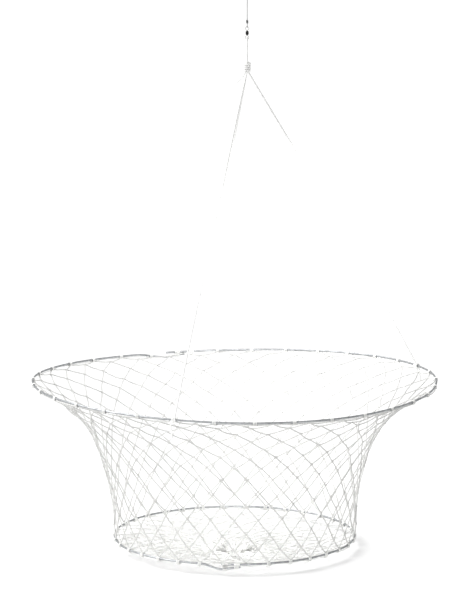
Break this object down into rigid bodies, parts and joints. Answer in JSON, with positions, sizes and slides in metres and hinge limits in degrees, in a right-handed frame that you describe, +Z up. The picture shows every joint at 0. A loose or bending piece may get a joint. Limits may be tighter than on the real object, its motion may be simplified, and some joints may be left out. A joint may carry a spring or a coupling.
{
  "type": "folding crab trap",
  "caption": "Folding net trap: a large and a small wire ring joined by knotted netting, hung from a cord bridle with a swivel and a line.",
  "frame": {"origin": "where the hang loop at the top of the line bears on its hook", "axes": "+Z up along the line, -Y towards the front, where the bottom ring's lap is"},
  "size_m": [0.6125, 0.613, 0.8807],
  "materials": {
    "wire": "galvanised",
    "netting": "knotted twine",
    "twine": "twisted twine",
    "cord": "twisted cord",
    "line": "braided line",
    "swivel_black": "black, satin",
    "swivel_bright": "bright wire"
  },
  "bodies": {
    "line": {"hang_loop": "line", "hang_loop_knot": "line", "hauling_line": "line", "line_knot": "line", "line_bight": "line", "swivel_barrel": "swivel_black", "swivel_upper_eye": "swivel_bright"},
    "swivel": {"swivel_lower_eye": "swivel_bright"},
    "harness": {"harness_loop": "cord", "apex_knot": "cord", "apex_tail": "cord", "bridle_leg_rear": "cord", "bridle_leg_right": "cord", "bridle_leg_front": "cord", "hitch_rear": "cord", "hitch_right": "cord", "hitch_front": "cord", "hitch_tail_rear": "cord", "hitch_tail_right": "cord", "hitch_tail_front": "cord", "top_ring": "wire", "top_ring_seizing": "twine", "top_lacing_right": "twine", "top_lacing_front": "twine", "top_lacing_left": "twine", "side_net": "netting"},
    "basket_floor": {"bottom_ring": "wire", "bottom_seizing_left": "twine", "bottom_seizing_right": "twine", "bottom_lacing": "twine", "floor_net": "netting", "drawstring_loop": "cord", "drawstring_knot": "cord", "drawstring_end_left": "cord", "drawstring_end_right": "cord"}
  },
  "joints": [
    {"name": "swivel_spin", "type": "hinge", "parent": "line", "child": "swivel", "pos_m": [0, 0, -0.1068], "axis": [0, 0, 1], "continuous": true},
    {"name": "harness_swing", "type": "hinge", "parent": "swivel", "child": "harness", "pos_m": [0, 0, -0.116], "axis": [1, 0, 0], "range_deg": [-60, 60]},
    {"name": "basket_fold", "type": "slide", "parent": "harness", "child": "basket_floor", "axis": [0, 0, 1], "range_m": [0, 0.224], "deforming": ["side_net"]}
  ]
}
